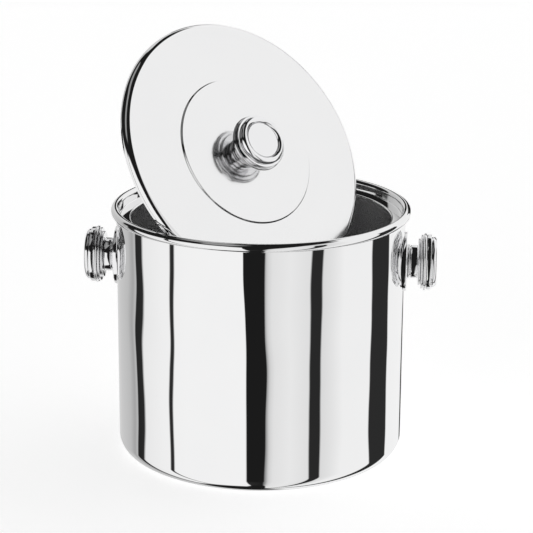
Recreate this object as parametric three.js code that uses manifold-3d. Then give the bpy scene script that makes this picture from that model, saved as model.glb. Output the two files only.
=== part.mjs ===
// A double-walled steel ice bucket with a turned knob on each side and a knobbed lid that leans in its mouth.
// Millimetres, +Z up. The origin is the centre of the base, and the side knobs lie along X.
import * as THREE from "three";
import { mergeVertices } from "three/addons/utils/BufferGeometryUtils.js";
import Module from "manifold-3d";

const wasm = await Module();
wasm.setup();

// Driving dimensions of the bucket
const BODY_RADIUS = 90;
const HEIGHT = 157.7;
const SHELL_WALL = 0.9;
const SHELL_BOTTOM_FILLET = 9;
const LINER_WALL = 0.7;
const LINER_RADIUS = 81; // inside of the liner below the lid's ledge
const LINER_FLOOR = 10;
const LINER_FLOOR_FILLET = 10;
const LEDGE_DEPTH = 7; // lid's ledge, below the top of the rim
const SEAT_RADIUS = 88; // wall round the lid's ledge
const ROLL_RADIUS = 2.65; // rolled lip of the liner
const SHELL_TOP = 154.4; // inside the rolled lip
const STAND_INNER_RADIUS = 63; // flat ring that the bucket stands on, out to the bottom fillet
const BASE_RECESS = 2.2;
const FOAM_SLEEVE_BOTTOM = 19;
const FOAM_DISC_RADIUS = 72;
const FOAM_WINDOW_RADIUS = 8.8; // room in the sleeve for a knob's washer and nut
const GAP = 0.3; // between pieces that touch

// Driving dimensions of the lid, in its own frame: Z = 0 is its flat face, +Z points out of the knob side
const LID_RADIUS = 87.4;
const LID_SKIN = 0.8;
const LID_EDGE_RADIUS = 4;
const LID_HEM_DEPTH = 5.2;
const LID_STEP_RADIUS = 47.7; // edge of the raised centre
const LID_STEP_HEIGHT = 1.2;
const LID_PAN_RADIUS = 80;
const LID_PAN_DEPTH = 8.5;
const LID_PAN_CORNER = 2;
const PAN_SKIN = 0.7;
const PAN_FLANGE_TOP = -4.2;
const PAN_FLANGE_RADIUS = 86.2;
const LID_FOAM_RADIUS = 77;
const SCREW_WASHER_RADIUS = 7;
const SCREW_WASHER_THICKNESS = 0.8;
const SCREW_HEAD_RADIUS = 4.5;
const SCREW_HEAD_HEIGHT = 2.2;

// How the lid leans in the mouth
const LID_TILT = 57.7; // degrees between its axis and the vertical
const LID_TURN = -44.2; // degrees from +X to the side that its knob points to
const LID_CENTRE = [-9.8, 4.5, 190.3];

// Driving dimensions of a turned knob, along its own axis from the surface that it is fastened to
const KNOB_HEIGHT_ON_BODY = 122.9;
const ROSETTE_RADIUS = 18.5;
const ROSETTE_TOP = 1.3;
const ROSETTE_BACK = -2.2; // before its back is hollowed
const COLLAR_RADIUS = 10.7;
const NECK_GROOVE_RADIUS = 9.7; // between the collar and the neck
const NECK_RADIUS = 10.4;
const NECK_TOP = 8.1;
const FIRST_BEAD_RADIUS = 14.6;
const SECOND_BEAD_RADIUS = 16.9;
const HEAD_RADIUS = 17.9; // of its third and largest bead
const DRUM_RADIUS = 17.2;
const END_BEAD_RADIUS = 2.3;
const END_BEAD_CENTRE = [13.5, 17.6];
const FACE_RADIUS = 11.2;
const FACE_SEAT = 16.8;
const FACE_EDGE = 18.4;
const FACE_CROWN = 18.9;
const THREAD_RADIUS = 2.5;
const BORE_RADIUS = THREAD_RADIUS + GAP;
const BORE_END = 15;
const THREAD_END = 14.5;
const SIDE_WASHER_RADIUS = 8;
const SIDE_WASHER_TOP = -1.6; // below the surface of the shell, against its inner face
const SIDE_WASHER_THICKNESS = 1;
const NUT_ACROSS_FLATS = 8;
const NUT_THICKNESS = 3.2;
const STUD_BEYOND_NUT = 0.5;

const BODY_SEGMENTS = 48;
const LID_SEGMENTS = 48;
const KNOB_SEGMENTS = 24;
const SMALL_SEGMENTS = 16;

const mirrorSteel = new THREE.MeshStandardMaterial({ color: 0xe6e6e8, roughness: 0.06, metalness: 1 });
const satinSteel = new THREE.MeshStandardMaterial({ color: 0xd6d6d8, roughness: 0.25, metalness: 1 });
const chromedZinc = new THREE.MeshStandardMaterial({ color: 0xdededf, roughness: 0.05, metalness: 1 });
const zincPlatedSteel = new THREE.MeshStandardMaterial({ color: 0xb9bcc0, roughness: 0.35, metalness: 1 });
const whiteFoam = new THREE.MeshStandardMaterial({ color: 0xf2efe6, roughness: 0.9, metalness: 0 });

const degrees = (angle) => (angle * Math.PI) / 180;

// Points [radius, height] on an arc, from one angle to another, both ends included.
function arc([r, z], radius, from, to, steps) {
  return Array.from({ length: steps + 1 }, (_, i) => {
    const angle = degrees(from + ((to - from) * i) / steps);
    return [r + radius * Math.cos(angle), z + radius * Math.sin(angle)];
  });
}

// A solid of revolution about Z. The profile goes anticlockwise when radius is drawn to the right and height
// upwards. It starts and ends on the axis, or ring closes it on itself.
function turned(profile, segments, ring = false) {
  const closed = ring ? [...profile, profile[0]] : profile;
  const points = closed.map(([r, z]) => new THREE.Vector2(r, z));
  return new THREE.LatheGeometry(points, segments).rotateX(Math.PI / 2);
}

// A washer or sleeve with a square section.
function washer(inner, outer, bottom, top, segments) {
  const profile = [
    [inner, bottom],
    [outer, bottom],
    [outer, top],
    [inner, top],
  ];
  return turned(profile, segments, true);
}

// A plain rod along Z.
function rod(radius, bottom, top, segments) {
  return new THREE.CylinderGeometry(radius, radius, top - bottom, segments)
    .rotateX(Math.PI / 2)
    .translate(0, 0, (bottom + top) / 2);
}

function toSolid(geometry) {
  const bare = geometry.clone();
  bare.deleteAttribute("normal");
  bare.deleteAttribute("uv");
  const merged = mergeVertices(bare, 1e-4);
  const vertProperties = merged.attributes.position.array;
  const triVerts = new Uint32Array(merged.index.array);
  return new wasm.Manifold(new wasm.Mesh({ numProp: 3, vertProperties, triVerts }));
}

function toGeometry(solid) {
  const { vertProperties, triVerts } = solid.getMesh();
  return new THREE.BufferGeometry()
    .setAttribute("position", new THREE.BufferAttribute(vertProperties, 3))
    .setIndex(new THREE.BufferAttribute(triVerts, 1));
}

// Cuts a round hole through both walls of a cylinder of revolution, along X at the side knobs' height.
function crossDrilled(geometry, holeRadius) {
  const drill = rod(holeRadius, -BODY_RADIUS - 1, BODY_RADIUS + 1, SMALL_SEGMENTS)
    .rotateY(Math.PI / 2)
    .translate(0, 0, KNOB_HEIGHT_ON_BODY);
  return toGeometry(toSolid(geometry).subtract(toSolid(drill)));
}

function piece(name, geometry, material) {
  const mesh = new THREE.Mesh(geometry, material);
  mesh.name = name;
  return mesh;
}

// Bucket: shell, liner and the foam between them
function outerShell() {
  const inside = BODY_RADIUS - SHELL_WALL;
  const recessRadius = STAND_INNER_RADIUS - 3;
  const filletCentre = [BODY_RADIUS - SHELL_BOTTOM_FILLET, SHELL_BOTTOM_FILLET];
  const profile = [
    [0, BASE_RECESS],
    [recessRadius, BASE_RECESS],
    [STAND_INNER_RADIUS, 0],
    ...arc(filletCentre, SHELL_BOTTOM_FILLET, -90, 0, 5),
    [BODY_RADIUS, SHELL_TOP],
    [inside, SHELL_TOP],
    ...arc(filletCentre, SHELL_BOTTOM_FILLET - SHELL_WALL, 0, -90, 4),
    [STAND_INNER_RADIUS + SHELL_WALL / 2, SHELL_WALL],
    [recessRadius + SHELL_WALL / 2, BASE_RECESS + SHELL_WALL],
    [0, BASE_RECESS + SHELL_WALL],
  ];
  return crossDrilled(turned(profile, BODY_SEGMENTS), BORE_RADIUS);
}

const LEDGE_HEIGHT = HEIGHT - LEDGE_DEPTH;
const LEDGE_CORNER = 1;

function innerLiner() {
  const floorFillet = [LINER_RADIUS - LINER_FLOOR_FILLET, LINER_FLOOR + LINER_FLOOR_FILLET];
  const ledgeCorner = [LINER_RADIUS + LEDGE_CORNER, LEDGE_HEIGHT - LEDGE_CORNER];
  const rollCentre = [SEAT_RADIUS + ROLL_RADIUS, HEIGHT - ROLL_RADIUS];
  const profile = [
    [0, LINER_FLOOR - LINER_WALL],
    ...arc(floorFillet, LINER_FLOOR_FILLET + LINER_WALL, -90, 0, 4),
    ...arc(ledgeCorner, LEDGE_CORNER - LINER_WALL, 180, 90, 1),
    [SEAT_RADIUS + LINER_WALL, LEDGE_HEIGHT - LINER_WALL],
    ...arc(rollCentre, ROLL_RADIUS - LINER_WALL, 180, -95, 6),
    ...arc(rollCentre, ROLL_RADIUS, -95, 180, 8),
    [SEAT_RADIUS, LEDGE_HEIGHT],
    ...arc(ledgeCorner, LEDGE_CORNER, 90, 180, 2),
    ...arc(floorFillet, LINER_FLOOR_FILLET, 0, -90, 4),
    [0, LINER_FLOOR],
  ];
  return turned(profile, BODY_SEGMENTS);
}

function insulationSleeve() {
  const inner = LINER_RADIUS + LINER_WALL + GAP;
  const outer = BODY_RADIUS - SHELL_WALL - GAP;
  const top = LEDGE_HEIGHT - LINER_WALL - GAP;
  return crossDrilled(washer(inner, outer, FOAM_SLEEVE_BOTTOM, top, BODY_SEGMENTS), FOAM_WINDOW_RADIUS);
}

function insulationDisc() {
  const bottom = BASE_RECESS + SHELL_WALL + GAP;
  const top = LINER_FLOOR - LINER_WALL - GAP;
  return rod(FOAM_DISC_RADIUS, bottom, top, LID_SEGMENTS / 2);
}

// Turned knob, standing on Z = 0 and pointing along +Z. The back of the rosette is hollowed to sit on the
// shell, whose axis is parallel to X here.
function knobRosette() {
  const edge = 0.5;
  const profile = [
    [BORE_RADIUS, ROSETTE_BACK],
    [ROSETTE_RADIUS, ROSETTE_BACK],
    ...arc([ROSETTE_RADIUS - edge, ROSETTE_TOP - edge], edge, 0, 90, 3),
    [BORE_RADIUS, ROSETTE_TOP],
  ];
  const body = rod(BODY_RADIUS + GAP, -ROSETTE_RADIUS - 1, ROSETTE_RADIUS + 1, BODY_SEGMENTS)
    .rotateY(Math.PI / 2)
    .translate(0, 0, -BODY_RADIUS);
  return toGeometry(toSolid(turned(profile, KNOB_SEGMENTS, true)).subtract(toSolid(body)));
}

function knobNeck() {
  const bottom = ROSETTE_TOP + GAP;
  const profile = [
    [BORE_RADIUS, bottom],
    [COLLAR_RADIUS - 0.4, bottom],
    [COLLAR_RADIUS, bottom + 0.4],
    [COLLAR_RADIUS, 2.8],
    [NECK_GROOVE_RADIUS, 3.2],
    [NECK_GROOVE_RADIUS, 3.5],
    [NECK_RADIUS, 4],
    [NECK_RADIUS, NECK_TOP - 0.4],
    [NECK_RADIUS - 0.4, NECK_TOP],
    [BORE_RADIUS, NECK_TOP],
  ];
  return turned(profile, KNOB_SEGMENTS, true);
}

function knobHead() {
  const profile = [
    [0, BORE_END],
    [BORE_RADIUS, BORE_END],
    [BORE_RADIUS, NECK_TOP + GAP],
    [FIRST_BEAD_RADIUS - 0.7, NECK_TOP + GAP],
    [FIRST_BEAD_RADIUS, 9],
    [FIRST_BEAD_RADIUS, 9.5],
    [FIRST_BEAD_RADIUS - 0.6, 10.1],
    [SECOND_BEAD_RADIUS - 0.7, 10.1],
    [SECOND_BEAD_RADIUS, 10.6],
    [SECOND_BEAD_RADIUS, 11.1],
    [SECOND_BEAD_RADIUS - 0.6, 11.7],
    [HEAD_RADIUS - 0.8, 11.7],
    [HEAD_RADIUS, 12.3],
    [HEAD_RADIUS, 13],
    [HEAD_RADIUS - 0.8, 13.6],
    [DRUM_RADIUS - 0.8, 13.7],
    [DRUM_RADIUS - 0.8, 14],
    [DRUM_RADIUS, 14.2],
    [DRUM_RADIUS, 16.1],
    [DRUM_RADIUS - 0.4, 16.5],
    [15.4, 16.5],
    ...arc(END_BEAD_CENTRE, END_BEAD_RADIUS, -25, 150, 5),
    [FACE_RADIUS + GAP, FACE_SEAT],
    [0, FACE_SEAT],
  ];
  return turned(profile, KNOB_SEGMENTS);
}

function knobFace() {
  const profile = [
    [0, FACE_SEAT + GAP],
    [FACE_RADIUS, FACE_SEAT + GAP],
    [FACE_RADIUS, FACE_EDGE],
    [FACE_RADIUS - 0.4, FACE_EDGE + 0.3],
    [0, FACE_CROWN],
  ];
  return turned(profile, KNOB_SEGMENTS);
}

function hexNut(bottom) {
  const corner = NUT_ACROSS_FLATS / Math.sqrt(3);
  const outline = new THREE.Shape(
    Array.from({ length: 6 }, (_, i) => {
      const angle = degrees(60 * i);
      return new THREE.Vector2(corner * Math.cos(angle), corner * Math.sin(angle));
    }),
  );
  outline.holes.push(new THREE.Path().absarc(0, 0, BORE_RADIUS, 0, 2 * Math.PI));
  const options = { depth: NUT_THICKNESS, bevelEnabled: false, curveSegments: 8 };
  return new THREE.ExtrudeGeometry(outline, options).translate(0, 0, bottom);
}

function turnedKnob(prefix) {
  const knob = new THREE.Group();
  knob.add(
    piece(prefix + "knob_neck", knobNeck(), chromedZinc),
    piece(prefix + "knob_head", knobHead(), chromedZinc),
    piece(prefix + "knob_face", knobFace(), chromedZinc),
  );
  return knob;
}

// A side knob also has a rosette, and a stud with its washer and nut inside the double wall.
function sideKnob(prefix, side) {
  const washerBottom = SIDE_WASHER_TOP - SIDE_WASHER_THICKNESS;
  const nutBottom = washerBottom - GAP - NUT_THICKNESS;
  const stud = rod(THREAD_RADIUS, nutBottom - STUD_BEYOND_NUT, THREAD_END, SMALL_SEGMENTS);
  const backing = washer(BORE_RADIUS, SIDE_WASHER_RADIUS, washerBottom, SIDE_WASHER_TOP, SMALL_SEGMENTS);
  const knob = turnedKnob(prefix);
  knob.add(
    piece(prefix + "knob_rosette", knobRosette(), chromedZinc),
    piece(prefix + "knob_stud", stud, zincPlatedSteel),
    piece(prefix + "knob_washer", backing, zincPlatedSteel),
    piece(prefix + "knob_nut", hexNut(nutBottom), zincPlatedSteel),
  );
  knob.rotation.y = side * degrees(90);
  knob.position.set(side * BODY_RADIUS, 0, KNOB_HEIGHT_ON_BODY);
  return knob;
}

// Lid, in its own frame
function lidTop() {
  const edge = [LID_RADIUS - LID_EDGE_RADIUS, -LID_EDGE_RADIUS];
  const profile = [
    [BORE_RADIUS, LID_STEP_HEIGHT - LID_SKIN],
    [LID_STEP_RADIUS - 0.9, LID_STEP_HEIGHT - LID_SKIN],
    [LID_STEP_RADIUS + 0.3, -LID_SKIN],
    ...arc(edge, LID_EDGE_RADIUS - LID_SKIN, 90, 0, 3),
    [LID_RADIUS - LID_SKIN, -LID_HEM_DEPTH],
    [LID_RADIUS, -LID_HEM_DEPTH],
    ...arc(edge, LID_EDGE_RADIUS, 0, 90, 4),
    [LID_STEP_RADIUS + 0.6, 0],
    [LID_STEP_RADIUS + 0.2, 0.3],
    [LID_STEP_RADIUS - 0.2, 0.9],
    [LID_STEP_RADIUS - 0.6, LID_STEP_HEIGHT],
    [BORE_RADIUS, LID_STEP_HEIGHT],
  ];
  return turned(profile, LID_SEGMENTS, true);
}

function lidPan() {
  const corner = [LID_PAN_RADIUS - LID_PAN_CORNER, LID_PAN_CORNER - LID_PAN_DEPTH];
  const profile = [
    [BORE_RADIUS, -LID_PAN_DEPTH],
    ...arc(corner, LID_PAN_CORNER, -90, 0, 3),
    [LID_PAN_RADIUS, PAN_FLANGE_TOP - PAN_SKIN],
    [PAN_FLANGE_RADIUS, PAN_FLANGE_TOP - PAN_SKIN],
    [PAN_FLANGE_RADIUS, PAN_FLANGE_TOP],
    [LID_PAN_RADIUS - PAN_SKIN, PAN_FLANGE_TOP],
    ...arc(corner, LID_PAN_CORNER - PAN_SKIN, 0, -90, 2),
    [BORE_RADIUS, PAN_SKIN - LID_PAN_DEPTH],
  ];
  return turned(profile, LID_SEGMENTS, true);
}

// Long pan-head screw, driven up through the lid from below
function lidScrew(headTop, end) {
  const profile = [
    [0, headTop - SCREW_HEAD_HEIGHT],
    [SCREW_HEAD_RADIUS - 1.1, headTop - SCREW_HEAD_HEIGHT + 0.1],
    [SCREW_HEAD_RADIUS, headTop - 1.2],
    [SCREW_HEAD_RADIUS, headTop],
    [THREAD_RADIUS, headTop],
    [THREAD_RADIUS, end],
    [0, end],
  ];
  return turned(profile, SMALL_SEGMENTS);
}

function lid() {
  const group = new THREE.Group();
  const foamBottom = PAN_SKIN - LID_PAN_DEPTH + GAP;
  const foam = washer(BORE_RADIUS, LID_FOAM_RADIUS, foamBottom, -LID_SKIN - GAP, LID_SEGMENTS / 2);
  const washerTop = -LID_PAN_DEPTH - GAP;
  const washerBottom = washerTop - SCREW_WASHER_THICKNESS;
  const screwWasher = washer(BORE_RADIUS, SCREW_WASHER_RADIUS, washerBottom, washerTop, SMALL_SEGMENTS);
  const knobBase = LID_STEP_HEIGHT - ROSETTE_TOP; // the lid's knob has no rosette under its collar
  const screw = lidScrew(washerBottom - GAP, knobBase + THREAD_END);
  const knob = turnedKnob("lid_");
  knob.position.z = knobBase;
  group.add(
    piece("lid_top", lidTop(), mirrorSteel),
    piece("lid_pan", lidPan(), satinSteel),
    piece("lid_insulation", foam, whiteFoam),
    piece("lid_knob_screw", screw, zincPlatedSteel),
    piece("lid_knob_washer", screwWasher, zincPlatedSteel),
    knob,
  );
  group.rotation.set(0, degrees(LID_TILT), degrees(LID_TURN), "ZYX");
  group.position.set(...LID_CENTRE);
  return group;
}

const iceBucket = new THREE.Group();
iceBucket.add(
  piece("outer_shell", outerShell(), mirrorSteel),
  piece("inner_liner", innerLiner(), mirrorSteel),
  piece("insulation_sleeve", insulationSleeve(), whiteFoam),
  piece("insulation_disc", insulationDisc(), whiteFoam),
  sideKnob("left_", -1),
  sideKnob("right_", 1),
  lid(),
);

export default iceBucket;
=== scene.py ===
"""A polished steel ice bucket with three turned knobs, its lid leaning in its mouth, in a plain white studio.

Everything is in metres in the CAD frame. Profiles are written in millimetres as (radius, height) points, and
turn_round() spins them about the Z axis of the piece's own frame.
"""

import math

import bmesh
import bpy
import numpy as np
from mathutils import Matrix, Vector


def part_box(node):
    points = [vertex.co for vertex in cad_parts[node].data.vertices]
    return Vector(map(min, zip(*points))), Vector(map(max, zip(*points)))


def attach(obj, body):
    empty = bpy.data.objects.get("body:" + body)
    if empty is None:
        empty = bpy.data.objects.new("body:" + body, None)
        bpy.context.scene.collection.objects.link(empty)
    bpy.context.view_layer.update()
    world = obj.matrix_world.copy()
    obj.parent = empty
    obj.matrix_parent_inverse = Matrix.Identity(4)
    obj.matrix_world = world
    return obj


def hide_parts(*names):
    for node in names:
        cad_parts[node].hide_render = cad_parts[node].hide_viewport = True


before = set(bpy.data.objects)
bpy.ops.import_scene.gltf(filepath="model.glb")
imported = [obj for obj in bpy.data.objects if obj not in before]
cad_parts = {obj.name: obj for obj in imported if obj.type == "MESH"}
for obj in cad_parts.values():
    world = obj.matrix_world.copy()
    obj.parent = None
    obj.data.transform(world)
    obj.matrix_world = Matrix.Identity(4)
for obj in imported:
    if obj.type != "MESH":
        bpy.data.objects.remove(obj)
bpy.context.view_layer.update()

MM = 0.001
AROUND = 256  # segments round the large pieces
AROUND_KNOB = 144  # segments round the knobs and the lid's fasteners
SHARP = math.radians(30)  # edges that turn more than this stay crisp
GAP = 0.3  # millimetres left between neighbouring pieces

# Sizes that the frame gives, in millimetres
_, shell_high = (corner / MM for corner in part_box("outer_shell"))
_, liner_high = (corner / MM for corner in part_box("inner_liner"))
head_low, head_high = (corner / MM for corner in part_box("right_knob_head"))
BODY_RADIUS = shell_high.x
SHELL_TOP = shell_high.z
RIM_RADIUS = liner_high.x
RIM_TOP = liner_high.z
KNOB_HEIGHT_ON_BODY = (head_low.z + head_high.z) / 2
HEAD_RADIUS = head_high.y

# Other sizes of the bucket, in millimetres
SHELL_WALL = 0.9
SHELL_BOTTOM_FILLET = 9
STAND_INNER_RADIUS = 63
STAND_FILLET = 1
RECESS_RADIUS = 59
RECESS_DEPTH = 2.2
LINER_WALL = 0.7
LINER_RADIUS = 81
LINER_FLOOR = 10
LINER_FLOOR_FILLET = 10
LEDGE_HEIGHT = 150.7
LEDGE_CORNER = 1
SEAT_RADIUS = 88
SEAT_FILLET = 0.8
ROLL_RADIUS = (RIM_RADIUS - SEAT_RADIUS) / 2
ROLL_CENTRE = (SEAT_RADIUS + ROLL_RADIUS, RIM_TOP - ROLL_RADIUS)
ROLL_END = -95  # degrees: the rolled lip ends just past its lowest point

# Sizes of the lid, in its own frame: height 0 is its flat face
LID_RADIUS = 87.33
LID_SKIN = 0.8
LID_EDGE_RADIUS = 4
LID_HEM_DEPTH = 5.2
LID_STEP_RADIUS = 47.7
LID_STEP_HEIGHT = 1.2
STEP_FILLET = 0.55
STEP_UNDERSIDE = (46.8, 48)  # radii where the slope under the step starts and ends
LID_PAN_RADIUS = 80
LID_PAN_DEPTH = 8.5
PAN_SKIN = 0.7
PAN_FILLET = 2
PAN_FLANGE_TOP = -4.2
PAN_FLANGE_RADIUS = 86.2

# Sizes of a turned knob, along its own axis from the surface that it is fastened to
BORE_RADIUS = 2.8
BORE_END = 15
ROSETTE_RADIUS = 18.5
ROSETTE_TOP = 1.3
ROSETTE_FILLET = 0.5
ROSETTE_BACK_BEVEL = 0.2
COLLAR_RADIUS = 10.7
COLLAR_TOP = 3
COLLAR_FILLETS = (0.3, 0.5)
NECK_GROOVE_RADIUS = 9.7
NECK_GROOVE_HEIGHT = 3.35
NECK_GROOVE_FILLET = 0.3
NECK_RADIUS = 10.4
NECK_START = 3.7
NECK_TOP = 8.1
NECK_FILLET = 0.4
# The head's three beads: the outer radius, the lower and upper heights, and the radius that it stands on
FIRST_BEAD = (14.6, NECK_TOP + GAP, 9.9, 9.9)
SECOND_BEAD = (16.9, 10.1, 11.5, 13.6)
THIRD_BEAD = (HEAD_RADIUS, 11.7, 13.6, 15.8)
DRUM_RADIUS = 17.2
DRUM_HEIGHTS = (13.8, 16.5)
DRUM_FILLETS = (0.25, 0.4)
END_BEAD_RADIUS = 2.26
END_BEAD_CENTRE = (13.5, 17.6)
FACE_RADIUS = 11.2
FACE_SEAT = 16.8
FACE_EDGE = 18.7
FACE_CROWN = 18.9
FACE_FILLET = 0.35
FACE_CLEARANCE = 0.05

# Sizes of the screw and washer that hold the lid's knob
THREAD_RADIUS = 2.5
THREAD_DEPTH = 0.4
THREAD_END = 14.5
THREAD_PITCH = 0.8
SCREW_POINT = 0.6
SCREW_HEAD_RADIUS = 4.5
SCREW_HEAD_HEIGHT = 2.2
SCREW_HEAD_FILLET = 1.1
SCREW_HEAD_FLAT = 2.6
SOCKET_RADIUS = 1.5
SOCKET_MOUTH_RADIUS = 1.75
SOCKET_DEPTH = 1.3
SOCKET_BEVEL = 0.15
SOCKET_RIM = 0.02
SOCKET_SIDES = 6
LID_WASHER_RADIUS = 7
LID_WASHER_THICKNESS = 0.8
WASHER_BEVEL = 0.15
WASHER_FILLET = 0.25


# ---------------------------------------------------------------- shapes
def arc(centre, radius, start, end, steps):
    """Points on an arc about centre, from one angle to another in degrees, both ends included."""
    angles = (math.radians(start + (end - start) * i / steps) for i in range(steps + 1))
    return [(centre[0] + radius * math.cos(a), centre[1] + radius * math.sin(a)) for a in angles]


def foot_corner(radius, height, fillet, steps):
    """The rounded outer corner at the foot of a wall."""
    return arc((radius - fillet, height + fillet), fillet, -90, 0, steps)


def top_corner(radius, height, fillet, steps):
    """The rounded outer corner at the top of a wall."""
    return arc((radius - fillet, height - fillet), fillet, 0, 90, steps)


def bead(radius, low, high, root, steps):
    """The outline of a rounded bead that stands on a root of smaller radius."""
    half = (high - low) / 2
    return [(root, low), *arc((radius - half, low + half), half, -88, 88, steps), (root, high)]


def turn_round(name, profile, segments, place=None):
    """A closed solid of revolution. A profile that doesn't start on the axis closes on itself.

    A height may be a function of the place (x, y). A point may have a third value: a number of flat sides,
    with the radius out to their corners."""
    mesh = bmesh.new()
    rings = []
    for radius, height, *sides in profile:
        if radius < 1e-6:
            rings.append([mesh.verts.new((0, 0, height * MM))])
            continue
        ring = []
        for i in range(segments):
            angle = 2 * math.pi * i / segments
            reach = radius
            if sides:
                half = math.pi / sides[0]
                reach *= math.cos(half) / math.cos(angle % (2 * half) - half)
            x, y = reach * math.cos(angle), reach * math.sin(angle)
            z = height(x, y) if callable(height) else height
            ring.append(mesh.verts.new((x * MM, y * MM, z * MM)))
        rings.append(ring)
    pairs = list(zip(rings, rings[1:]))
    if len(rings[0]) > 1:
        pairs.append((rings[-1], rings[0]))
    for lower, upper in pairs:
        for i in range(segments):
            j = (i + 1) % segments
            below = [lower[i % len(lower)], lower[j % len(lower)]]
            above = [upper[j % len(upper)], upper[i % len(upper)]]
            mesh.faces.new(list(dict.fromkeys(below + above)))
    return finished(name, mesh, place)


def finished(name, mesh, place=None):
    """Turns a bmesh into an object in its place, with smooth shading and crisp edges.

    Each point keeps where it was in the piece's own frame as the attribute "turned", for the materials."""
    bmesh.ops.recalc_face_normals(mesh, faces=mesh.faces)
    data = bpy.data.meshes.new(name)
    mesh.to_mesh(data)
    mesh.free()
    turned = data.attributes.new("turned", "FLOAT_VECTOR", "POINT")
    for vertex, point in zip(data.vertices, turned.data):
        point.vector = vertex.co
    if place is not None:
        data.transform(place)
    data.shade_smooth()
    data.set_sharp_from_angle(angle=SHARP)
    piece = bpy.data.objects.new(name, data)
    bpy.context.scene.collection.objects.link(piece)
    return piece


def dress(piece, material, slot, body, *nodes):
    """Gives a piece its material, parents it to the body that it rides on, and hides the CAD nodes that it
    stands for.
    """
    piece.data.materials.append(material)
    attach(piece, body)
    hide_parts(*nodes)


# ---------------------------------------------------------------- places
def lid_place():
    """The lid's own frame, measured on its CAD node: Z along its axis, with the flat face at height 0.

    The axis is the direction in which the node's points spread least."""
    points = np.array([v.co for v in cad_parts["lid_top"].data.vertices], float)
    points = np.unique(points.round(6), axis=0)
    centre = points.mean(0)
    axis = np.linalg.svd(points - centre)[2][2]
    axis *= np.sign(axis[2])
    top = ((points - centre) @ axis).max()
    origin = Vector(centre + axis * (top - LID_STEP_HEIGHT * MM))
    turn = Vector((0, 0, 1)).rotation_difference(Vector(axis)).to_matrix().to_4x4()
    return Matrix.Translation(origin) @ turn


def side_knob_place(side):
    """A side knob's own frame: Z points straight out of the shell."""
    turn = Matrix.Rotation(side * math.pi / 2, 4, "Y")
    return Matrix.Translation((side * BODY_RADIUS * MM, 0, KNOB_HEIGHT_ON_BODY * MM)) @ turn


LID = lid_place()
# The lid's knob has no rosette, so its frame lies lower by a rosette's height
LID_KNOB = LID @ Matrix.Translation((0, 0, (LID_STEP_HEIGHT - ROSETTE_TOP) * MM))


# ---------------------------------------------------------------- materials
LINER_METALLIC = 0.84  # below the ledge
LINER_CHANGE = (LEDGE_HEIGHT - 2, LEDGE_HEIGHT - 1)  # heights between which the bright rim begins
LID_MIRROR = 0.02  # roughness of the lid's mirror-bright edges
LID_SHEEN = (0.08, 0.13)  # roughness that its faces have on top of that
LID_FLAT = LID_RADIUS - LID_EDGE_RADIUS
LID_CHANGE = (LID_FLAT - 0.5, LID_FLAT + 0.3)  # radii between which the rounded edge's shine begins
STEP_SHINE = STEP_FILLET + 0.7  # how far the raised centre's bright edge reaches to either side
TURNING_STRETCH = 60.0


class Nodes:
    """A small builder for a node tree: each call adds nodes and returns the last one's output."""

    def __init__(self, tree):
        self.tree = tree

    def link(self, value, socket):
        if isinstance(value, bpy.types.NodeSocket):
            self.tree.links.new(value, socket)
        else:
            socket.default_value = value

    def math(self, operation, a, b=0.0, c=0.0):
        node = self.tree.nodes.new("ShaderNodeMath")
        node.operation = operation
        for value, socket in zip((a, b, c), node.inputs):
            self.link(value, socket)
        return node.outputs[0]

    def product(self, first, *others):
        result = first
        for value in others:
            result = self.math("MULTIPLY", result, value)
        return result

    def rest(self, value):
        """What is left of 1."""
        return self.math("SUBTRACT", 1.0, value)

    def vector(self, x, y, z):
        node = self.tree.nodes.new("ShaderNodeCombineXYZ")
        for value, socket in zip((x, y, z), node.inputs):
            self.link(value, socket)
        return node.outputs[0]

    def split(self, vector):
        node = self.tree.nodes.new("ShaderNodeSeparateXYZ")
        self.link(vector, node.inputs[0])
        return node.outputs

    def noise(self, where, scale, detail=2.0, roughness=0.5):
        node = self.tree.nodes.new("ShaderNodeTexNoise")
        self.link(where, node.inputs["Vector"])
        node.inputs["Scale"].default_value = scale
        node.inputs["Detail"].default_value = detail
        node.inputs["Roughness"].default_value = roughness
        return node.outputs["Fac"]

    def cells(self, where, scale):
        node = self.tree.nodes.new("ShaderNodeTexVoronoi")
        self.link(where, node.inputs["Vector"])
        node.inputs["Scale"].default_value = scale
        return node.outputs["Distance"]

    def span(self, value, low, high):
        """Stretches 0..1 to low..high."""
        node = self.tree.nodes.new("ShaderNodeMapRange")
        self.link(value, node.inputs["Value"])
        node.inputs["To Min"].default_value = low
        node.inputs["To Max"].default_value = high
        return node.outputs["Result"]

    def over(self, none, value, all_of_it):
        """A soft step from 0 at one value to 1 at another, which may be the lower of the two."""
        node = self.tree.nodes.new("ShaderNodeMapRange")
        node.interpolation_type = "SMOOTHSTEP"
        node.inputs["From Min"].default_value = none
        node.inputs["From Max"].default_value = all_of_it
        self.link(value, node.inputs["Value"])
        return node.outputs["Result"]

    def above(self, value, limit, softness):
        """1 where a value is above a limit and 0 below it, with a soft step between."""
        return self.over(-softness, self.math("SUBTRACT", value, limit), softness)

    def below(self, value, limit, softness):
        """1 where a value is below a limit and 0 above it, with a soft step between."""
        return self.over(softness, self.math("SUBTRACT", value, limit), -softness)

    def tones(self, value, dark, light):
        node = self.tree.nodes.new("ShaderNodeMix")
        node.data_type = "RGBA"
        self.link(value, node.inputs["Factor"])
        node.inputs["A"].default_value = (*dark, 1)
        node.inputs["B"].default_value = (*light, 1)
        return node.outputs["Result"]

    def bump(self, height, distance, normal=None):
        node = self.tree.nodes.new("ShaderNodeBump")
        node.inputs["Strength"].default_value = 1
        node.inputs["Distance"].default_value = distance
        self.link(height, node.inputs["Height"])
        if normal is not None:
            self.link(normal, node.inputs["Normal"])
        return node.outputs["Normal"]


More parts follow.
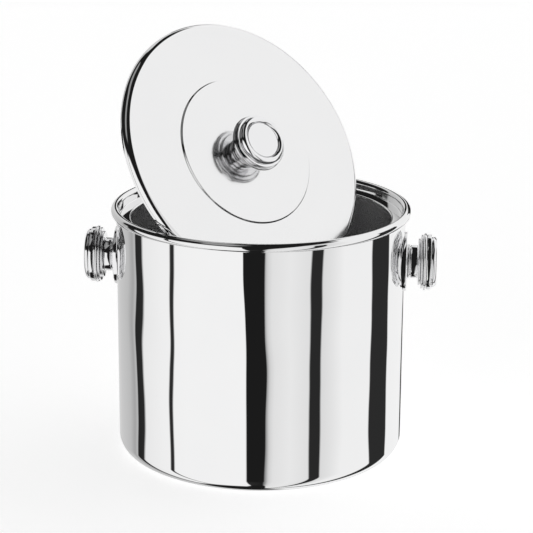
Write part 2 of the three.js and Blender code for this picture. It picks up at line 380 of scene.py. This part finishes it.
class Shader(Nodes):
    """The nodes of one material. A turned piece has its axis along Z."""

    def __init__(self, name, turned=True):
        self.material = bpy.data.materials.new(name)
        self.material.use_nodes = True
        super().__init__(self.material.node_tree)
        self.turned = turned
        self.principled = self.tree.nodes["Principled BSDF"]

    def place(self):
        """The point on the piece, in the piece's own frame where it is turned."""
        if self.turned:
            node = self.tree.nodes.new("ShaderNodeAttribute")
            node.attribute_name = "turned"
            return node.outputs["Vector"]
        return self.tree.nodes.new("ShaderNodeTexCoord").outputs["Object"]

    def axis_distance(self):
        x, y, _ = self.split(self.place())
        return self.math("SQRT", self.math("ADD", self.math("MULTIPLY", x, x), self.math("MULTIPLY", y, y)))

    def turning_lines(self, scale, detail, roughness):
        """A noise that changes fast across the turning lines and slowly along them."""
        x, y, z = self.split(self.place())
        where = self.vector(
            self.math("MULTIPLY", self.axis_distance(), TURNING_STRETCH),
            self.math("MULTIPLY", z, TURNING_STRETCH),
            self.math("ADD", x, y),
        )
        return self.noise(where, scale, detail, roughness)

    def set(self, **values):
        for name, value in values.items():
            self.link(value, self.principled.inputs[name.replace("_", " ")])


def polished_steel(name, dark, light, line_depth, wave_depth, wave_scale=14.0, roughness=None):
    """Polished metal: hair-fine turning lines, a slow waviness of the sheet, and a faint cloud of tones.

    The depths are in millimetres. Without a range of roughness, that is left to the caller."""
    s = Shader(name)
    where = s.place()
    lines = s.turning_lines(scale=40.0, detail=3.0, roughness=0.7)
    cloud = s.noise(where, scale=22.0, detail=4.0, roughness=0.6)
    waves = s.noise(where, scale=wave_scale, detail=1.0, roughness=0.4)
    s.set(
        Base_Color=s.tones(cloud, dark, light),
        Metallic=1.0,
        Normal=s.bump(lines, line_depth * MM, s.bump(waves, wave_depth * MM)),
    )
    if roughness is not None:
        s.set(Roughness=s.span(s.math("MULTIPLY", lines, cloud), *roughness))
    return s


def shell_steel():
    return polished_steel(
        "shell_steel",
        dark=(0.90, 0.90, 0.905),
        light=(0.93, 0.93, 0.93),
        line_depth=0.0004,
        wave_depth=1.7,
        roughness=(0.0, 0.02),
    )


def liner_steel():
    """Mirror-bright on the rim, and duller below the ledge, where the steel was left as drawn."""
    s = polished_steel(
        "liner_steel",
        dark=(0.87, 0.87, 0.875),
        light=(0.91, 0.91, 0.91),
        line_depth=0.001,
        wave_depth=0.2,
        roughness=(0.02, 0.08),
    )
    _, _, z = s.split(s.place())
    bright = s.over(LINER_CHANGE[0] * MM, z, LINER_CHANGE[1] * MM)
    s.set(Metallic=s.span(bright, LINER_METALLIC, 1.0))
    return s


def lid_steel():
    """A soft sheen on the faces. The rounded edge and the edge of the raised centre are mirror-bright."""
    s = polished_steel(
        "lid_steel",
        dark=(0.89, 0.89, 0.895),
        light=(0.92, 0.92, 0.92),
        line_depth=0.0005,
        wave_depth=0.01,
    )
    radius = s.axis_distance()
    rim = s.over(LID_CHANGE[0] * MM, radius, LID_CHANGE[1] * MM)
    from_step = s.math("ABSOLUTE", s.math("SUBTRACT", radius, LID_STEP_RADIUS * MM))
    step = s.over(STEP_SHINE * MM, from_step, 0.0)
    soft = s.rest(s.math("MINIMUM", s.math("ADD", rim, step), 1.0))
    sheen = s.span(s.noise(s.place(), scale=30.0, detail=3.0, roughness=0.6), *LID_SHEEN)
    s.set(Roughness=s.math("ADD", LID_MIRROR, s.math("MULTIPLY", soft, sheen)))
    return s


def pan_steel():
    """The underside of the lid, as it came from the press."""
    return polished_steel(
        "pan_steel",
        dark=(0.72, 0.72, 0.73),
        light=(0.82, 0.82, 0.82),
        line_depth=0.004,
        wave_depth=0.02,
        roughness=(0.22, 0.34),
    )


def knob_chrome():
    return polished_steel(
        "knob_chrome",
        dark=(0.87, 0.87, 0.88),
        light=(0.91, 0.91, 0.915),
        line_depth=0.0002,
        wave_depth=0.002,
        wave_scale=60.0,
        roughness=(0.0, 0.03),
    )


def plated_fastener(name, turned):
    """Zinc-plated steel: dull silver with a faint bluish cloud and turning marks."""
    s = Shader(name, turned)
    cloud = s.noise(s.place(), scale=160.0, detail=4.0, roughness=0.6)
    lines = s.turning_lines(scale=60.0, detail=2.0, roughness=0.6)
    s.set(
        Base_Color=s.tones(cloud, (0.50, 0.52, 0.55), (0.68, 0.68, 0.67)),
        Metallic=1.0,
        Roughness=s.span(lines, 0.28, 0.45),
        Normal=s.bump(lines, 0.01 * MM),
    )
    return s


def bead_foam():
    """Moulded bead foam: off-white, matt, with the fine seams between its beads."""
    s = Shader("bead_foam", turned=False)
    where = s.place()
    beads = s.cells(where, scale=330.0)
    s.set(
        Base_Color=s.tones(beads, (0.90, 0.88, 0.81), (0.80, 0.77, 0.69)),
        Roughness=s.span(s.noise(where, scale=90.0, detail=3.0), 0.75, 0.95),
        Normal=s.bump(s.rest(beads), 0.2 * MM),
    )
    return s


SHELL_STEEL = shell_steel().material
LINER_STEEL = liner_steel().material
LID_STEEL = lid_steel().material
PAN_STEEL = pan_steel().material
KNOB_CHROME = knob_chrome().material
LID_ZINC = plated_fastener("zinc_plated", turned=True).material
ZINC = plated_fastener("zinc_plated_inside", turned=False).material
FOAM = bead_foam().material


# ---------------------------------------------------------------- bucket
def shell():
    centre = (BODY_RADIUS - SHELL_BOTTOM_FILLET, SHELL_BOTTOM_FILLET)
    profile = [
        (0, RECESS_DEPTH),
        *arc((RECESS_RADIUS, RECESS_DEPTH - STAND_FILLET), STAND_FILLET, 90, 40, 4),
        *arc((STAND_INNER_RADIUS, STAND_FILLET), STAND_FILLET, 220, 270, 4),
        *arc(centre, SHELL_BOTTOM_FILLET, -90, 0, 24),
        (BODY_RADIUS, SHELL_TOP),
        (BODY_RADIUS - SHELL_WALL, SHELL_TOP),
        *arc(centre, SHELL_BOTTOM_FILLET - SHELL_WALL, 0, -90, 12),
        (STAND_INNER_RADIUS + SHELL_WALL / 2, SHELL_WALL),
        (RECESS_RADIUS + STAND_FILLET + SHELL_WALL / 2, RECESS_DEPTH + SHELL_WALL),
        (0, RECESS_DEPTH + SHELL_WALL),
    ]
    return turn_round("shell", profile, AROUND)


def liner():
    floor = (LINER_RADIUS - LINER_FLOOR_FILLET, LINER_FLOOR + LINER_FLOOR_FILLET)
    ledge = (LINER_RADIUS + LEDGE_CORNER, LEDGE_HEIGHT - LEDGE_CORNER)
    seat = (SEAT_RADIUS - SEAT_FILLET, LEDGE_HEIGHT + SEAT_FILLET)
    profile = [
        (0, LINER_FLOOR - LINER_WALL),
        *arc(floor, LINER_FLOOR_FILLET + LINER_WALL, -90, 0, 16),
        *arc(ledge, LEDGE_CORNER - LINER_WALL, 180, 90, 4),
        (SEAT_RADIUS + LINER_WALL, LEDGE_HEIGHT - LINER_WALL),
        *arc(ROLL_CENTRE, ROLL_RADIUS - LINER_WALL, 180, ROLL_END, 40),
        *arc(ROLL_CENTRE, ROLL_RADIUS, ROLL_END, 180, 56),
        *arc(seat, SEAT_FILLET, 0, -90, 6),
        *arc(ledge, LEDGE_CORNER, 90, 180, 8),
        *arc(floor, LINER_FLOOR_FILLET, 0, -90, 20),
        (0, LINER_FLOOR),
    ]
    return turn_round("liner", profile, AROUND)


def knob_rosette(name, place):
    """Its back is hollowed to sit on the shell, whose axis is parallel to the rosette's own X."""

    def on_shell(x, y):
        return math.sqrt((BODY_RADIUS + GAP) ** 2 - y**2) - BODY_RADIUS

    def bevelled(x, y):
        return on_shell(x, y) + ROSETTE_BACK_BEVEL

    back_radii = (BORE_RADIUS, 6, 9, 12, 14, 16, 17.3, ROSETTE_RADIUS - ROSETTE_BACK_BEVEL)
    profile = [
        *((radius, on_shell) for radius in back_radii),
        (ROSETTE_RADIUS, bevelled),
        *top_corner(ROSETTE_RADIUS, ROSETTE_TOP, ROSETTE_FILLET, 8),
        (BORE_RADIUS, ROSETTE_TOP),
    ]
    return turn_round(name, profile, AROUND_KNOB, place)


def knob_neck(name, place):
    """A collar, a groove and a straight neck."""
    bottom = ROSETTE_TOP + GAP
    foot_fillet, brow_fillet = COLLAR_FILLETS
    groove = (NECK_GROOVE_RADIUS + NECK_GROOVE_FILLET, NECK_GROOVE_HEIGHT)
    profile = [
        (BORE_RADIUS, bottom),
        *foot_corner(COLLAR_RADIUS, bottom, foot_fillet, 4),
        *arc((COLLAR_RADIUS - brow_fillet, COLLAR_TOP - brow_fillet), brow_fillet, 0, 75, 6),
        *arc(groove, NECK_GROOVE_FILLET, 250, 110, 8),
        *arc((NECK_RADIUS - NECK_FILLET, NECK_START + NECK_FILLET), NECK_FILLET, -75, 0, 5),
        *top_corner(NECK_RADIUS, NECK_TOP, NECK_FILLET, 4),
        (BORE_RADIUS, NECK_TOP),
    ]
    return turn_round(name, profile, AROUND_KNOB, place)


def knob_head(name, place):
    """Three stepped beads, a drum and a domed end bead that holds the face."""
    profile = [
        (0, BORE_END),
        (BORE_RADIUS, BORE_END),
        (BORE_RADIUS, NECK_TOP + GAP),
        *bead(*FIRST_BEAD, 12)[:-1],
        *bead(*SECOND_BEAD, 12),
        *bead(*THIRD_BEAD, 16),
        *foot_corner(DRUM_RADIUS, DRUM_HEIGHTS[0], DRUM_FILLETS[0], 4),
        *top_corner(DRUM_RADIUS, DRUM_HEIGHTS[1], DRUM_FILLETS[1], 5),
        *arc(END_BEAD_CENTRE, END_BEAD_RADIUS, -25, 172, 36),
        (FACE_RADIUS + FACE_CLEARANCE, FACE_SEAT),
        (0, FACE_SEAT),
    ]
    return turn_round(name, profile, AROUND_KNOB, place)


def knob_face(name, place):
    """A slightly domed disc."""
    crown = FACE_CROWN - FACE_EDGE
    shares = (0.9, 0.75, 0.6, 0.45, 0.3, 0.15)
    profile = [
        (0, FACE_SEAT + GAP),
        (FACE_RADIUS, FACE_SEAT + GAP),
        *arc((FACE_RADIUS - FACE_FILLET, FACE_EDGE - FACE_FILLET), FACE_FILLET, 0, 85, 6),
        *((FACE_RADIUS * share, FACE_CROWN - crown * share**2) for share in shares),
        (0, FACE_CROWN),
    ]
    return turn_round(name, profile, AROUND_KNOB, place)


def turned_knob(prefix, place, body):
    dress(knob_neck(prefix + "neck", place), KNOB_CHROME, "knob_chrome", body, prefix + "knob_neck")
    dress(knob_head(prefix + "head", place), KNOB_CHROME, "knob_chrome", body, prefix + "knob_head")
    dress(knob_face(prefix + "face", place), KNOB_CHROME, "knob_chrome", body, prefix + "knob_face")


def make_bucket():
    dress(shell(), SHELL_STEEL, "shell_steel", "bucket", "outer_shell")
    dress(liner(), LINER_STEEL, "liner_steel", "bucket", "inner_liner")
    for prefix, side in (("left_", -1), ("right_", 1)):
        place = side_knob_place(side)
        turned_knob(prefix, place, "bucket")
        rosette = knob_rosette(prefix + "rosette", place)
        dress(rosette, KNOB_CHROME, "knob_chrome", "bucket", prefix + "knob_rosette")


# ---------------------------------------------------------------- lid
def lid_skin():
    edge = (LID_RADIUS - LID_EDGE_RADIUS, -LID_EDGE_RADIUS)
    step_foot = (LID_STEP_RADIUS + STEP_FILLET, STEP_FILLET)
    step_brow = (LID_STEP_RADIUS - STEP_FILLET, LID_STEP_HEIGHT - STEP_FILLET)
    profile = [
        (BORE_RADIUS, LID_STEP_HEIGHT - LID_SKIN),
        (STEP_UNDERSIDE[0], LID_STEP_HEIGHT - LID_SKIN),
        (STEP_UNDERSIDE[1], -LID_SKIN),
        *arc(edge, LID_EDGE_RADIUS - LID_SKIN, 90, 0, 12),
        (LID_RADIUS - LID_SKIN, -LID_HEM_DEPTH),
        (LID_RADIUS, -LID_HEM_DEPTH),
        *arc(edge, LID_EDGE_RADIUS, 0, 90, 24),
        *arc(step_foot, STEP_FILLET, 270, 190, 8),
        *arc(step_brow, STEP_FILLET, 10, 90, 8),
        (BORE_RADIUS, LID_STEP_HEIGHT),
    ]
    return turn_round("lid_skin", profile, AROUND, LID)


def lid_pan():
    corner = (LID_PAN_RADIUS - PAN_FILLET, PAN_FILLET - LID_PAN_DEPTH)
    profile = [
        (BORE_RADIUS, -LID_PAN_DEPTH),
        *arc(corner, PAN_FILLET, -90, 0, 10),
        (LID_PAN_RADIUS, PAN_FLANGE_TOP - PAN_SKIN),
        (PAN_FLANGE_RADIUS, PAN_FLANGE_TOP - PAN_SKIN),
        (PAN_FLANGE_RADIUS, PAN_FLANGE_TOP),
        (LID_PAN_RADIUS - PAN_SKIN, PAN_FLANGE_TOP),
        *arc(corner, PAN_FILLET - PAN_SKIN, 0, -90, 8),
        (BORE_RADIUS, PAN_SKIN - LID_PAN_DEPTH),
    ]
    return turn_round("lid_pan_shell", profile, AROUND, LID)


def lid_washer():
    top = -LID_PAN_DEPTH - GAP
    bottom = top - LID_WASHER_THICKNESS
    profile = [
        (BORE_RADIUS, top - WASHER_BEVEL),
        (BORE_RADIUS, bottom + WASHER_BEVEL),
        (BORE_RADIUS + WASHER_BEVEL, bottom),
        *foot_corner(LID_WASHER_RADIUS, bottom, WASHER_FILLET, 5),
        (LID_WASHER_RADIUS, top),
        (BORE_RADIUS + WASHER_BEVEL, top),
    ]
    return turn_round("lid_washer", profile, AROUND_KNOB, LID)


def lid_screw():
    """A long screw: a pan head with a six-sided socket, a plain shank, and fine rings for its thread."""
    top = -LID_PAN_DEPTH - 2 * GAP - LID_WASHER_THICKNESS
    bottom = top - SCREW_HEAD_HEIGHT
    end = LID_STEP_HEIGHT - ROSETTE_TOP + THREAD_END
    thread_end = end - SCREW_POINT
    threads = int((end - LID_STEP_HEIGHT - 1) / THREAD_PITCH)
    root = THREAD_RADIUS - THREAD_DEPTH
    rings = []
    for i in range(threads, 0, -1):
        low = thread_end - i * THREAD_PITCH
        rings += [(root, low), (THREAD_RADIUS, low + THREAD_PITCH / 2)]
    brow = (SCREW_HEAD_RADIUS - SCREW_HEAD_FILLET, bottom + SCREW_HEAD_FILLET)
    profile = [
        (0, bottom + SOCKET_DEPTH),
        (SOCKET_RADIUS, bottom + SOCKET_DEPTH, SOCKET_SIDES),
        (SOCKET_RADIUS, bottom + SOCKET_BEVEL, SOCKET_SIDES),
        (SOCKET_MOUTH_RADIUS, bottom + SOCKET_RIM, SOCKET_SIDES),
        (SCREW_HEAD_FLAT, bottom),
        *arc(brow, SCREW_HEAD_FILLET, -84, 0, 8),
        (SCREW_HEAD_RADIUS, top),
        (THREAD_RADIUS, top),
        *rings,
        (root, thread_end),
        (root - THREAD_DEPTH, end),
        (0, end),
    ]
    return turn_round("lid_screw", profile, AROUND_KNOB, LID)


def make_lid():
    dress(lid_skin(), LID_STEEL, "lid_steel", "lid", "lid_top")
    dress(lid_pan(), PAN_STEEL, "pan_steel", "lid", "lid_pan")
    dress(lid_washer(), LID_ZINC, "fastener_steel", "lid", "lid_knob_washer")
    dress(lid_screw(), LID_ZINC, "fastener_steel", "lid", "lid_knob_screw")
    turned_knob("lid_", LID_KNOB, "lid")


def dress_cad_nodes():
    """The nodes that nothing replaces keep their CAD shape and get a finished material."""
    for name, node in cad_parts.items():
        if node.hide_render:
            continue
        material = FOAM if "insulation" in name else ZINC
        node.data.materials.clear()
        node.data.materials.append(material)


# ---------------------------------------------------------------- studio
# Camera, at the photograph's viewing angle
CAMERA_AZIMUTH = math.radians(3.9)
CAMERA_ELEVATION = math.radians(16.52)
CAMERA_ROLL = math.radians(0.34)
CAMERA_DISTANCE = 1.26
CAMERA_TARGET = Vector((0.00357, 0.00024, 0.11716))
CAMERA_LENS = 135.42


def make_camera():
    a, e = CAMERA_AZIMUTH, CAMERA_ELEVATION
    back = Vector((math.sin(a) * math.cos(e), -math.cos(a) * math.cos(e), math.sin(e)))
    right = Vector((math.cos(a), math.sin(a), 0))
    turn = Matrix((right, back.cross(right), back)).transposed() @ Matrix.Rotation(CAMERA_ROLL, 3, "Z")
    data = bpy.data.cameras.new("camera")
    data.lens = CAMERA_LENS
    camera = bpy.data.objects.new("camera", data)
    camera.matrix_world = Matrix.Translation(CAMERA_TARGET + CAMERA_DISTANCE * back) @ turn.to_4x4()
    bpy.context.scene.collection.objects.link(camera)
    bpy.context.scene.camera = camera


# The studio as the steel reflects it. Every table below goes by direction in degrees: 0 is towards the
# camera, 90 is to the camera's right, and -180 and 180 are both straight behind the bucket. Heights are in
# degrees above the horizon.
BLACK = 0.012  # the least brightness anywhere
# Brightness of the walls
WALL = [
    (-180, 0.70), (-166, 0.68), (-154, 0.60), (-141, 0.56), (-132, 0.52), (-124, 0.38), (-108, 0.86),
    (-85, 0.92), (-60, 0.95), (-12, 0.95), (2, 0.10), (4.3, 0.40), (6, 0.68), (10, 0.80), (24, 0.86),
    (50, 0.74), (60, 0.82), (70, 0.92), (150, 0.93), (170, 0.90), (180, 0.70),
]
# Dark upright strips on the walls, from one direction to another
STRIPS = [(-118.8, -108.3), (-76.4, -72.3), (-12.2, 2.0), (40.6, 49.9), (99.0, 123.4)]
STRIP_TOP = 16
STRIP_DARKNESS = 0.985
STRIP_SOFTNESS = 0.15
# Dark panels low behind the bucket, from one direction to another and from one height to another
BACK_PANELS = [(154, 172, -8, 14), (-182, -171, 4, 26), (161, 169, -22, -17)]
PANEL_SIDE_SOFTNESS = 0.5
PANEL_END_SOFTNESS = 1
# Height above which the studio is dark
CEILING = [
    (-180, 44), (-173, 46), (-169, 62), (-157, 58), (-145, 34), (-137, 24), (-126, 8), (-95, 8), (-72, 16),
    (-50, 26), (-30, 28), (-14, 21), (-12, -30), (2, -30), (5, -12), (10, 0), (20, 16), (35, 34), (50, 42),
    (70, 46), (85, 52), (95, 62), (120, 62), (145, 57), (158, 48), (180, 44),
]
# Height below which the studio is dark
GROUND = [
    (-180, -66), (-110, -68), (-20, -68), (-9, -58), (3, -58), (10, -80), (22, -86), (150, -86), (165, -66),
    (180, -66),
]
# A dim sheet hangs in the dark overhead: the height of its lower edge
SHEET_EDGE = [
    (-180, 90), (-148, 88), (-142, 60), (-118, 56), (-104, 60), (-84, 66), (-68, 62), (-60, 50), (-52, 44),
    (-26, 49), (-18, 90), (180, 90),
]
SHEET_TOP = 80
SHEET_BRIGHTNESS = 0.3
HEIGHT_SOFTNESS = 3  # of the ceiling, the ground and the sheet
FLOOR_RADIUS = 8
FLOOR_GLOW = 0.72  # keeps the floor as pale as the white behind it


class Studio(Nodes):
    """The world's nodes, with the direction and height of the ray that they are asked for."""

    def __init__(self):
        world = bpy.data.worlds.new("studio")
        world.use_nodes = True
        bpy.context.scene.world = world
        super().__init__(world.node_tree)
        x, y, z = self.split(self.tree.nodes.new("ShaderNodeTexCoord").outputs["Generated"])
        sine, cosine = math.sin(CAMERA_AZIMUTH), math.cos(CAMERA_AZIMUTH)
        across = self.math("ADD", self.math("MULTIPLY", x, cosine), self.math("MULTIPLY", y, sine))
        nearer = self.math("SUBTRACT", self.math("MULTIPLY", x, sine), self.math("MULTIPLY", y, cosine))
        turn = self.math("DIVIDE", self.math("ARCTAN2", across, nearer), 2 * math.pi)
        self.turn = self.math("ADD", turn, 0.5)  # 0 to 1 for -180 to 180 degrees
        self.height = self.math("DEGREES", self.math("ARCSINE", z))

    def by_direction(self, stops, low=0, high=1):
        """A value by direction, from stops of (direction, value) with values between low and high."""
        node = self.tree.nodes.new("ShaderNodeValToRGB")
        ramp = node.color_ramp
        while len(ramp.elements) < len(stops):
            ramp.elements.new(0.5)
        for element, (direction, value) in zip(ramp.elements, stops):
            element.position = (direction + 180) / 360
            share = (value - low) / (high - low)
            element.color = (share, share, share, 1)
        self.link(self.turn, node.inputs[0])
        return self.span(node.outputs[0], low, high)

    def height_edge(self, stops):
        return self.by_direction(stops, -90, 90)

    def strips(self):
        soft = STRIP_SOFTNESS
        stops = [(-180, 0)]
        for start, end in STRIPS:
            stops += [(start - soft, 0), (start + soft, 1), (end - soft, 1), (end + soft, 0)]
        low_down = self.below(self.height, STRIP_TOP, PANEL_END_SOFTNESS)
        return self.product(self.by_direction(stops), low_down, STRIP_DARKNESS)

    def back_panel(self, start, end, low, high):
        """Its directions may run past 180 degrees."""
        direction = self.span(self.turn, -180, 180)
        from_middle = self.math("SUBTRACT", direction, (start + end) / 2)
        apart = self.math("ABSOLUTE", self.math("WRAP", from_middle, 180, -180))
        return self.product(
            self.below(apart, (end - start) / 2, PANEL_SIDE_SOFTNESS),
            self.above(self.height, low, PANEL_END_SOFTNESS),
            self.below(self.height, high, PANEL_END_SOFTNESS),
        )

    def walls(self):
        return self.product(
            self.by_direction(WALL),
            self.rest(self.strips()),
            self.below(self.height, self.height_edge(CEILING), HEIGHT_SOFTNESS),
            self.above(self.height, self.height_edge(GROUND), HEIGHT_SOFTNESS),
            *(self.rest(self.back_panel(*panel)) for panel in BACK_PANELS),
        )

    def sheet(self):
        return self.product(
            self.above(self.height, self.height_edge(SHEET_EDGE), HEIGHT_SOFTNESS),
            self.below(self.height, SHEET_TOP, HEIGHT_SOFTNESS),
            SHEET_BRIGHTNESS,
        )


def make_world():
    """What the steel reflects is the studio, and what the camera sees directly is plain white."""
    s = Studio()
    level = s.math("ADD", s.math("ADD", s.walls(), s.sheet()), BLACK)
    seen = s.tree.nodes.new("ShaderNodeLightPath").outputs["Is Camera Ray"]
    level = s.math("ADD", s.product(level, s.rest(seen)), seen)
    background = s.tree.nodes["Background"]
    s.link(level, background.inputs["Strength"])
    background.inputs["Color"].default_value = (1, 1, 1, 1)


def make_floor():
    mesh = bmesh.new()
    bmesh.ops.create_circle(mesh, cap_ends=True, segments=96, radius=FLOOR_RADIUS)
    floor = finished("floor", mesh)
    s = Shader("pale_floor", turned=False)
    s.set(
        Base_Color=s.tones(s.noise(s.place(), scale=3.0), (0.80, 0.80, 0.80), (0.82, 0.82, 0.82)),
        Roughness=0.9,
        Emission_Color=(1, 1, 1, 1),
        Emission_Strength=FLOOR_GLOW,
    )
    floor.data.materials.append(s.material)
    floor.visible_glossy = False


bpy.context.scene.view_settings.view_transform = "Standard"
make_camera()
make_world()
make_floor()
make_bucket()
make_lid()
dress_cad_nodes()
